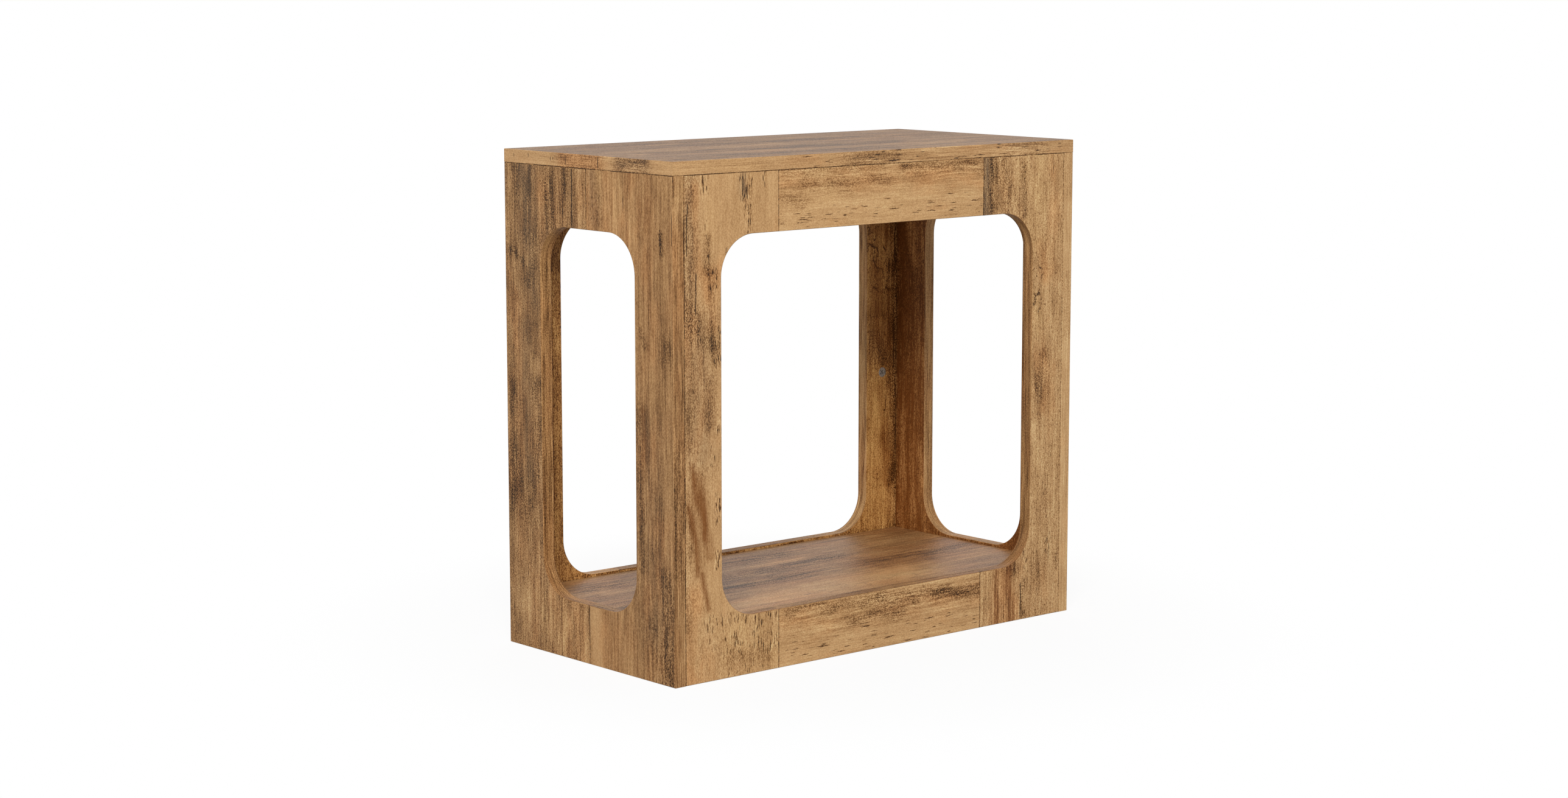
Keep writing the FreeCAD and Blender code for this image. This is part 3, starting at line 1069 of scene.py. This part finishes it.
@dataclass
class Table:
    """The table's fourteen boards."""

    end_post: float = 0.0505
    corner_cam_columns: Point = (39, 561)
    corner_cam_heights: tuple[float, ...] = (32, 261, 514)
    top_rail_pockets: tuple[Point, ...] = ((170, 513), (430, 513), (226, 522), (374, 522))
    low_rail_pockets: tuple[Point, ...] = ((170, 33), (430, 33))
    side_front_pockets: tuple[Point, ...] = ((50, 522),)
    side_rear_pockets: tuple[Point, ...] = ((173.5, 33), (173.5, 513), (249, 522))

    def face(self, facing: Facing, prefix: str, inner: Figure, prints: tuple[WoodPrint, ...],
             outer: tuple[Marks, ...], hidden: tuple[Marks, ...] = ((),) * 4) -> list[Board]:
        """Boards of the front or back face: the left and right ends, then the top and bottom rails.

        Args:
            facing: the way the face looks.
            prefix: first word of the boards' names.
            inner: figure of the inner faces.
            prints: the print of the left end, the right end and the rails.
            outer: marks on each board's outer face.
            hidden: marks on each board's inner face.

        Returns:
            The four boards.
        """
        seams = (Side.START, Side.END)
        joints = (*seams, Side.HEAD)
        ends = {"facing": facing, "slot": "end_board", "grain": Grain.SECOND, "post": self.end_post,
                "inner_figure": inner, "outer_joints": joints, "inner_joints": joints}
        rails = {"facing": facing, "slot": "rail_board", "grain": Grain.FIRST, "inner_figure": inner,
                 "inner_joints": seams, "finish": prints[2]}
        columns = [tuple((x, z) for z in self.corner_cam_heights) for x in self.corner_cam_columns]
        return [
            WindowBoard(f"{prefix}_left_panel", finish=prints[0], outer_marks=outer[0],
                        inner_marks=hidden[0], pockets=columns[0], **ends),
            WindowBoard(f"{prefix}_right_panel", finish=prints[1], outer_marks=outer[1],
                        inner_marks=hidden[1], outer_low=False, pockets=columns[1], **ends),
            Board(f"{prefix}_top_rail", outer_marks=outer[2], inner_marks=hidden[2], outer_joints=joints,
                  pockets=self.top_rail_pockets, **rails),
            Board(f"{prefix}_bottom_rail", outer_marks=outer[3], inner_marks=hidden[3], outer_joints=seams,
                  pockets=self.low_rail_pockets, **rails),
        ]

    def front(self) -> list[Board]:
        """Boards of the front face."""
        left = WoodPrint(
            seed=1.3, tone=0.28, figure=Figure(lines=0.1, pores=0.03, speckle=0.15),
            checks=(Check(17.5, 459, 519, 2.4, 0.6), Check(30, 397, 445, 1, 0.8),
                    Check(41.3, 523, 546, 0, 0.7), Check(96, 517, 544, -2, 0.7)))
        left_marks = strokes(
            stain=((20, 548, 23, 385, 9, 0.6), (50, 442, 55, 392, 9, 0.4), (45, 480, 46, 445, 5, 0.4),
                   (102, 535, 106, 478, 6, 0.35), (52, 380, 58, 350, 8, 0.5), (26, 385, 24, 260, 14, 0.45),
                   (28, 372, 52, 362, 9, 0.45), (50, 330, 46, 280, 9, 0.4), (18, 200, 18, 60, 5, 0.4),
                   (80, 25, 135, 18, 14, 0.3)),
            grey=((22, 548, 24, 420, 11, 0.4), (93, 546, 94, 520, 4, 0.7), (34, 385, 36, 250, 20, 0.4)),
            speckle=((22, 548, 26, 385, 14, 0.6), (36, 390, 40, 235, 24, 0.5), (25, 230, 30, 20, 20, 0.4),
                     (70, 30, 140, 30, 34, 0.4)),
            rust=((26, 530, 28, 380, 12, 0.5), (48, 440, 54, 380, 12, 0.6), (30, 380, 34, 240, 18, 0.3),
                  (24, 100, 26, 5, 12, 0.6)),
            ticks=((44, 500, 45, 445, 5, 0.4), (40, 548, 42, 522, 5, 1.0), (94, 548, 96, 515, 5, 1.0),
                   (104, 540, 106, 485, 6, 0.6), (126, 548, 127, 536, 4, 0.9), (73, 463, 72, 458, 4, 0.7),
                   (54, 445, 55, 420, 5, 0.9), (62, 378, 62, 345, 5, 0.8), (62, 290, 62, 272, 4, 0.9),
                   (55, 255, 55, 238, 4, 0.8), (60, 204, 62, 176, 5, 1.0), (59, 140, 59, 122, 4, 1.0),
                   (50, 64, 146, 56, 10, 0.55), (55, 36, 146, 28, 14, 0.42), (60, 10, 130, 4, 8, 0.3),
                   (84, 48, 86, 40, 4, 1.0), (115, 52, 117, 44, 4, 1.0), (45, 60, 47, 54, 4, 1.0)),
            flame=((25, 238, 43, 160, 4, 1.0), (20, 190, 32, 118, 3.5, 1.0), (33, 225, 50, 135, 5, 0.7),
                   (40, 118, 47, 78, 3.5, 1.0), (26, 200, 36, 130, 9, 0.35)),
            gold=((80, 50, 140, 20, 40, 0.4),))
        right = WoodPrint(
            seed=4.1, tone=0.295, figure=Figure(lines=0.45, pores=0.03, speckle=0.95, gold=0.1),
            checks=(Check(521, 0, 48, 0, 0.7), Check(568, 520, 546, 0, 0.4)))
        right_marks = strokes(
            grey=((456, 548, 458, 478, 7, 1.0),),
            stain=((457, 548, 459, 478, 8, 0.7), (468, 546, 470, 485, 7, 0.6),
                   (480, 540, 498, 495, 15, 0.5), (517, 541, 519, 478, 4, 0.7),
                   (554, 315, 553, 268, 7, 0.5), (542, 285, 545, 262, 6, 0.4), (566, 200, 562, 80, 4, 0.35),
                   (581, 70, 581, 58, 6, 0.5), (497, 66, 512, 60, 7, 0.6), (524, 40, 523, 5, 5, 0.7),
                   (545, 66, 550, 5, 14, 0.22)),
            rust=((570, 540, 575, 440, 14, 0.3), (545, 440, 560, 410, 14, 0.6),
                  (555, 310, 556, 250, 14, 0.6), (485, 60, 490, 0, 24, 0.7)),
            gold=((540, 530, 545, 450, 22, 0.5), (540, 380, 546, 340, 10, 0.7)),
            pale=((540, 225, 543, 185, 9, 0.5),),
            crackle=((540, 408, 546, 372, 12, 0.75),),
            ticks=((560, 165, 562, 140, 4, 0.8), (568, 95, 566, 66, 5, 0.8), (523, 85, 530, 60, 6, 0.8)),
            lines=((485, 60, 485, 0, 28, 0.6),),
            flame=((478, 62, 482, 0, 6, 0.6), (500, 62, 506, 0, 7, 0.8)))
        rail = WoodPrint(seed=6.7, tone=0.245, figure=Figure(lines=0.2, pores=0.02, speckle=0.1, gold=0.1))
        top_marks = strokes(
            stain=((150, 544, 300, 546, 6, 0.6), (262, 530, 305, 527, 6, 0.45),
                   (330, 541, 452, 538, 8, 0.65), (152, 516, 180, 510, 7, 0.4),
                   (180, 530, 250, 524, 8, 0.4)),
            lines=((150, 532, 450, 530, 16, 0.35),),
            speckle=((150, 530, 450, 526, 14, 0.25),),
            rust=((150, 530, 450, 526, 15, 0.5),),
            pores=((160, 494, 450, 496, 12, 0.65),))
        low_marks = strokes(
            stain=((160, 61, 300, 58, 7, 0.7), (300, 54, 452, 48, 9, 0.7), (250, 40, 330, 37, 6, 0.5)),
            lines=((150, 47, 450, 45, 18, 0.5),),
            speckle=((150, 46, 450, 42, 16, 0.4),),
            rust=((150, 50, 450, 42, 16, 0.5),),
            pores=((160, 18, 450, 14, 12, 0.65),))
        inner = Figure(stain=0.1, lines=0.4, pores=0.1, speckle=0.4, rust=0.5)
        return self.face(Facing.FRONT, "front", inner, (left, right, rail),
                         (left_marks, right_marks, top_marks, low_marks))

    def back(self) -> list[Board]:
        """Boards of the back face."""
        ends = {"tone": 0.34, "edge_tone": 0.41, "figure": Figure(lines=0.3, pores=0.03, speckle=0.55),
                "edge_figure": Figure(stain=0.15, lines=1.3, edge=1.0, rust=0.4, gold=1.15)}
        left = WoodPrint(seed=8.2, **ends)
        right = WoodPrint(
            seed=9.9, **ends,
            checks=(Check(571, 382, 404, 0, 0.8, INNER_STEP), Check(566, 208, 235, 1, 0.7, INNER_STEP),
                    Check(581, 395, 530, 0, 0.9, INNER_STEP), Check(580, 262, 330, 0, 0.9, INNER_STEP)))
        rail = WoodPrint(seed=11.4, tone=0.3, figure=Figure(lines=0.35, pores=0.25, speckle=0.3))
        # Inner faces: gold above 1 brings in the deep tint, which partly paints the warm light bounced inside
        # the table.
        inner = Figure(stain=0.1, flame=0.35, lines=0.45, pores=0.08, speckle=1.3, rust=0.3, gold=1.7)
        # Painted shade on the back-left board's inner face, seen through the left window: dark down the
        # strip, darker towards the top, and a dark line along the shelf; the rust stroke tints it red-brown.
        left_inner_shade = strokes(
            stain=((24, 548, 26, 66, 26, 0.9), (30, 546, 30, 300, 16, 0.5), (26, 548, 26, 330, 24, 0.4),
                   (15, 64.5, 146, 64.5, 2.5, 0.8)),
            rust=((26, 548, 26, 200, 30, 1.2),))
        # On the back-right board's inner face the dark streaks down the inner corner (578 to 584) and the
        # line along the shelf at 64.5 are painted shade; the pale and gold strokes low down are partly print
        # and partly painted light; crackle, flames and rust are print.
        right_inner_print_and_shade = strokes(
            crackle=((538, 425, 562, 372, 16, 0.9),),
            stain=((578, 546, 580, 120, 8, 0.75), (584, 546, 584, 66, 4, 1.0),
                   (560, 300, 575, 250, 10, 0.5), (545, 330, 552, 268, 9, 0.4),
                   (454, 64.5, 585, 64.5, 2.5, 0.8)),
            flame=((560, 505, 566, 430, 8, 0.6), (550, 395, 556, 300, 7, 0.6), (570, 360, 572, 290, 5, 0.6),
                   (545, 480, 547, 440, 5, 0.5), (566, 200, 568, 120, 5, 0.5)),
            gold=((545, 420, 548, 330, 14, 0.6), (545, 250, 545, 60, 18, 0.9)),
            pale=((545, 250, 546, 110, 15, 0.45),),
            rust=((560, 330, 560, 240, 14, 0.6),))
        sill_shade = strokes(stain=((146, 64.5, 454, 64.5, 2.5, 0.8),))
        outer = (scattered(81, (15, 0), (65, 546), 4), scattered(82, (535, 0), (585, 546), 4),
                 scattered(83, (150, 480), (450, 546), 3), scattered(84, (150, 0), (450, 66), 3))
        return self.face(Facing.BACK, "back", inner, (left, right, rail), outer,
                         (left_inner_shade, right_inner_print_and_shade, (), sill_shade))

    def sides(self) -> list[Board]:
        """Boards of the two side faces."""
        left_front = WoodPrint(
            seed=13.6, tone=0.465, edge_tone=0.54, figure=Figure(lines=0.6, speckle=0.2, rust=0.3),
            edge_figure=Figure(lines=1.0, speckle=0.1, edge=1.0, rust=0.3),
            checks=(Check(84.7, 501, 523), Check(2.3, 470, 508)))
        left_rear = WoodPrint(
            seed=15.1, tone=0.44, edge_tone=0.53,
            figure=Figure(stain=0.3, lines=0.5, speckle=0.6, grey=0.08, rust=0.2),
            edge_figure=Figure(stain=0.3, lines=0.8, edge=1.0, rust=0.4, gold=1.25),
            checks=(Check(174.8, 478, 548, 0, 0.9),))
        plain = Figure(lines=0.5, pores=0.03, speckle=0.4)
        right_front = WoodPrint(seed=17.8, tone=0.38, edge_tone=0.45, figure=plain,
                                edge_figure=Figure(lines=0.45, speckle=0.1, edge=1.0))
        right_rear = WoodPrint(seed=19.3, tone=0.38, edge_tone=0.48, figure=plain)
        front_marks = strokes(
            stain=((11, 365, 11, 350, 9, 0.5), (15, 115, 8, 82, 12, 0.6), (20, 60, 12, 0, 22, 0.4),
                   (8, 45, 5, 0, 12, 0.5), (56, 380, 50, 362, 4, 0.5), (45, 260, 30, 60, 26, 0.22),
                   (20, 487, 20, 465, 3, 1.0), (60, 300, 56, 120, 5, 0.4)),
            pale=((140, 64, 135, 0, 16, 0.7), (125, 540, 90, 480, 24, 0.3), (95, 62, 85, 5, 16, 0.3)),
            lines=((140, 64, 135, 0, 18, -0.7),),
            rust=((140, 64, 135, 0, 16, -0.3),),
            speckle=((140, 546, 136, 480, 14, 0.7),),
            grey=((141, 546, 138, 490, 9, 0.4), (45, 260, 30, 60, 26, 0.3)),
            gold=((120, 540, 90, 490, 22, 0.4),),
            flame=((53, 294, 53, 243, 4, 0.6),))
        rear_marks = strokes(
            stain=((262, 548, 248, 440, 12, 0.55), (280, 540, 275, 500, 6, 0.35),
                   (220, 540, 215, 480, 9, 0.55), (190, 546, 188, 500, 6, 0.45),
                   (285, 205, 262, 165, 14, 0.35), (252, 430, 252, 415, 8, 0.6),
                   (290, 452, 270, 440, 5, 0.7), (240, 300, 246, 200, 9, 0.4),
                   (285, 300, 290, 150, 7, 0.4)),
            grey=((264, 548, 250, 400, 16, 0.35), (262, 370, 262, 200, 12, 0.35),
                  (260, 546, 255, 480, 20, 0.25)),
            pale=((240, 330, 241, 100, 5, 0.45), (277, 386, 277, 293, 6, 0.5), (267, 74, 267, 0, 6, 0.6),
                  (240, 60, 170, 20, 40, 0.55), (162, 546, 162, 482, 9, 0.35)),
            rust=((280, 400, 275, 200, 10, 0.5), (200, 60, 180, 20, 30, 0.4)),
            gold=((230, 50, 170, 20, 36, 0.5),),
            lines=((230, 60, 180, 20, 34, 0.5),))
        # Inner faces: gold above 1 brings in the deep tint, which partly paints the warm light bounced inside
        # the table.
        inner = Figure(stain=0.2, flame=0.8, lines=0.6, pores=0.05, speckle=1.0, rust=1.3, gold=1.5)
        # Painted shade on the side boards' inner faces: darker towards the top and a dark streak down the
        # corner by the back board; the flame lower down is print.
        shade = strokes(
            stain=((260, 546, 262, 300, 40, 0.2), (283, 546, 283, 66, 4, 0.7)),
            flame=((262, 330, 262, 70, 34, 0.3),))
        worn = strokes(
            stain=((0, 540, 0, 430, 8, 0.1), (0, 260, 0, 120, 8, 0.3)),
            pale=((0, 546, 0, 330, 8, 0.25),))
        bright = strokes(
            pale=((0, 0, 0, 546, 8, 1.0),),
            stain=((0, 400, 0, 330, 7, 0.25), (0, 540, 0, 500, 7, 0.2)))
        pale_back = strokes(pale=((299, 0, 299, 546, 8, 0.8),), rust=((299, 0, 299, 546, 8, -0.3),))
        right_marks = (scattered(85, (0, 0), (65, 546), 4), scattered(86, (234, 0), (299, 546), 4))
        rows = (("left", Facing.LEFT, 1.8, (left_front, left_rear), (front_marks, rear_marks), worn),
                ("right", Facing.RIGHT, 0.8, (right_front, right_rear), right_marks, bright))
        made = []
        for side, facing, darkening, prints, marks, front_edge in rows:
            common = {"facing": facing, "slot": "side_board", "grain": Grain.SECOND, "inner_figure": inner,
                      "inner_marks": shade, "seam_dirt": darkening,
                      "inner_joints": (Side.START, Side.END, Side.HEAD)}
            made.append(WindowBoard(f"{side}_side_front_panel", finish=prints[0], outer_marks=marks[0],
                                    outer_joints=(Side.END, Side.HEAD), edge_marks=front_edge,
                                    pockets=self.side_front_pockets, **common))
            made.append(WindowBoard(f"{side}_side_rear_panel", finish=prints[1], outer_marks=marks[1],
                                    outer_low=False, outer_joints=(Side.START, Side.HEAD),
                                    edge_marks=pale_back, pockets=self.side_rear_pockets, **common))
        return made

    def decks(self) -> list[Board]:
        """The top and the shelf."""
        top = WoodPrint(
            seed=21.7, tone=0.585, gloss=0.3, edge_tone=0.32,
            figure=Figure(stain=0.1, lines=0.9, speckle=0.1, grey=0.25),
            edge_figure=Figure(lines=0.25, pores=0.03, speckle=0.1, edge=1.0, gold=0.1),
            checks=(Check(6, 1513, 1514, 0, 2.5, EDGE_STEP), Check(5, 1540, 1541.2, 0, 3, EDGE_STEP),
                    Check(7, 1581, 1582, 0, 2.5, EDGE_STEP), Check(6, 1585, 1586, 0, 2, EDGE_STEP),
                    Check(7.5, 1608, 1609.2, 0, 7, EDGE_STEP), Check(7.5, 1665, 1666.4, 0, 8, EDGE_STEP)))
        shelf = WoodPrint(seed=23.2, tone=0.505, roughness=0.46, gloss=0.28,
                          figure=Figure(stain=0.1, lines=0.65, speckle=0.1, rust=0.4))
        top_marks = strokes(
            stain=((30, 30, 330, 40, 22, 0.35), (80, 120, 420, 110, 24, 0.35),
                   (200, 200, 560, 190, 22, 0.35), (60, 260, 300, 255, 18, 0.35)),
            pale=((150, 80, 500, 75, 12, 0.5), (60, 160, 300, 170, 14, 0.4)))
        top_edge = strokes(
            rust=((0, 192, 0, 128, 14, 0.8),),
            stain=((0, 190, 0, 130, 12, 0.45), (0, 88, 0, 50, 9, 0.8), (250, 0, 315, 0, 14, 0.35),
                   (500, 0, 545, 0, 12, 0.35)),
            grey=((0, 88, 0, 50, 12, 0.3),),
            lines=((250, 0, 560, 0, 20, 0.5),),
            pores=((200, 0, 560, 0, 20, 0.4),))
        # Shelf marks: streaks and pores are print; the pale band near the front and the gold patch on the
        # right are partly lighter print and partly painted sheen.
        shelf_print_and_sheen = strokes(
            stain=((20, 80, 110, 80, 45, 0.25), (30, 128, 300, 134, 14, 0.45),
                   (100, 175, 400, 185, 18, 0.4), (400, 130, 560, 140, 20, 0.35),
                   (60, 230, 360, 240, 14, 0.4)),
            pale=((60, 50, 400, 62, 38, 1.0), (60, 200, 360, 205, 10, 0.5)),
            lines=((60, 50, 400, 62, 36, -0.4),),
            pores=((200, 50, 420, 50, 16, 0.5),),
            rust=((400, 130, 560, 150, 30, 0.6),),
            gold=((380, 80, 540, 80, 40, 0.7),))
        hubs = tuple((x, y) for x in (226, 374) for y in (39, 260))
        hubs += tuple((x, y) for x in (39, 561) for y in (50, 249))
        return [
            Board("top_panel", Facing.TOP, Grain.FIRST, "top_board", top, inner_joints=tuple(Side),
                  outer_marks=top_marks, edge_marks=top_edge),
            Board("shelf_panel", Facing.TOP, Grain.FIRST, "shelf_board", shelf, pockets=hubs,
                  outer_joints=tuple(Side), outer_marks=shelf_print_and_sheen),
        ]

    def build(self, table_low: np.ndarray) -> None:
        """Build every board in order."""
        for board in (*self.front(), *self.back(), *self.sides(), *self.decks()):
            board.measure(table_low)
            board.build()


@dataclass
class Fittings:
    """Cam locks, bolts and dowels: the CAD nodes, with their finishes."""

    groups: tuple[str, ...] = ("corner", "rail", "side", "top", "shelf")

    def dress(self, nodes: dict[str, bpy.types.Object]) -> None:
        """Give every fitting node its finish."""
        finishes = {"cam_locks": CastZinc().build("cast_zinc"),
                    "cam_bolts": PlatedSteel().build("plated_steel"),
                    "dowels": BareBeech().build("bare_beech")}
        for kind, material in finishes.items():
            for group in self.groups:
                node = nodes[f"{group}_{kind}"]
                node.data.materials.clear()
                node.data.materials.append(material)
                LOG.info("%s: %s", node.name, material.name)


@dataclass
class Studio:
    """Floor, world, lamps and the camera of the photograph."""

    camera_at: tuple[float, float, float] = (-2.27064, -2.60255, 0.76987)
    camera_turn: tuple[float, float, float] = (81.7148, 0.0, -40.8875)
    lens: float = 69.418
    ambient: float = 0.38
    lamp_aim_height: float = 0.28
    floor_half: float = 6.0
    floor_level: float = -0.0005
    shadow_reach: Point = (0.35, 0.65)
    shadow_share: float = 0.1
    floor_seen: Tint = (0.95, 0.95, 0.95, 1.0)
    floor_bounce: Tint = (0.6, 0.6, 0.6, 1.0)

    def camera(self) -> None:
        """Camera at the photograph's place, with no shift and no depth of field."""
        data = bpy.data.cameras.new("photo_camera")
        data.lens = self.lens
        data.sensor_width = 36.0
        data.dof.use_dof = False
        camera = bpy.data.objects.new("photo_camera", data)
        camera.location = self.camera_at
        camera.rotation_euler = tuple(math.radians(angle) for angle in self.camera_turn)
        bpy.context.scene.collection.objects.link(camera)
        bpy.context.scene.camera = camera

    def world(self) -> None:
        """White where a camera, glossy or transmission ray looks, and a lower even light on the object."""
        world = bpy.data.worlds.new("white_studio")
        bpy.context.scene.world = world
        world.use_nodes = True
        g = Graph(world.node_tree)
        path = g.node("ShaderNodeLightPath", {}, {})
        seen = Value(g, path.outputs["Is Camera Ray"]).most(Value(g, path.outputs["Is Glossy Ray"]))
        seen = seen.most(Value(g, path.outputs["Is Transmission Ray"]))
        strength = self.ambient + seen * (1 - self.ambient)
        sky = g.node("ShaderNodeBackground", {}, {"Color": (1, 1, 1, 1), "Strength": strength})
        g.node("ShaderNodeOutputWorld", {}, {"Surface": sky.outputs[0]})

    def lamp(self, name: str, place: tuple[float, float, float], size: float, power: float,
             mirrored: bool) -> None:
        """Soft square lamp that looks at the middle of the table, seen in reflections or not."""
        data = bpy.data.lights.new(name, "AREA")
        data.size = size
        data.energy = power
        lamp = bpy.data.objects.new(name, data)
        aim = np.array(place) - np.array([0.0, 0.0, self.lamp_aim_height])
        flat = math.hypot(aim[0], aim[1])
        lamp.location = place
        lamp.visible_glossy = mirrored
        lamp.rotation_euler = (math.atan2(flat, aim[2]), 0.0, math.atan2(aim[0], -aim[1]))
        bpy.context.scene.collection.objects.link(lamp)

    def floor(self) -> None:
        """Pale floor that takes the table's shadow near it and fades to plain white further out."""
        ways = ((-1, -1), (1, -1), (1, 1), (-1, 1))
        corners = [(x * self.floor_half, y * self.floor_half, self.floor_level) for x, y in ways]
        mesh = bpy.data.meshes.new("studio_floor")
        mesh.from_pydata(corners, [], [(0, 1, 2, 3)])
        material, g = new_material("floor_white")
        x, y, _ = g.parts(g.object_place())
        away = g.math("SQRT", x * x + y * y)
        path = g.node("ShaderNodeLightPath", {}, {})
        seen = Value(g, path.outputs["Is Camera Ray"])
        shade = g.blend(seen, self.floor_bounce, self.floor_seen)
        paint = g.node("ShaderNodeBsdfDiffuse", {}, {"Color": shade})
        glow = g.node("ShaderNodeEmission", {}, {"Color": (1, 1, 1, 1), "Strength": 1.0})
        share = (away.band(*self.shadow_reach) * self.shadow_share + (1 - self.shadow_share)) * seen
        inputs = {"Fac": share, "Shader": paint.outputs[0], "Shader_001": glow.outputs[0]}
        mixed = g.node("ShaderNodeMixShader", {}, inputs)
        g.node("ShaderNodeOutputMaterial", {}, {"Surface": mixed.outputs[0]})
        mesh.materials.append(material)
        floor = bpy.data.objects.new("studio_floor", mesh)
        bpy.context.scene.collection.objects.link(floor)
        floor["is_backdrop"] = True

    def build(self) -> None:
        """Set the stage, in order."""
        self.camera()
        self.world()
        self.floor()
        self.lamp("key", (-3.2, -3.3, 3.5), size=2.2, power=245, mirrored=True)
        self.lamp("fill", (3.2, 3.6, 1.1), size=2.6, power=90, mirrored=False)
        bpy.context.scene.view_settings.view_transform = "Standard"


def main() -> None:
    """Load the frame, build the boards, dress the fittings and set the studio."""
    logging.basicConfig(level=logging.INFO, format="%(message)s")
    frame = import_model()
    cad_box = [list(corner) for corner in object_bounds()]
    Table().build(np.array(cad_box[0]))
    Fittings().dress(frame["nodes"])
    Studio().build()


if __name__ == "__main__":
    main()
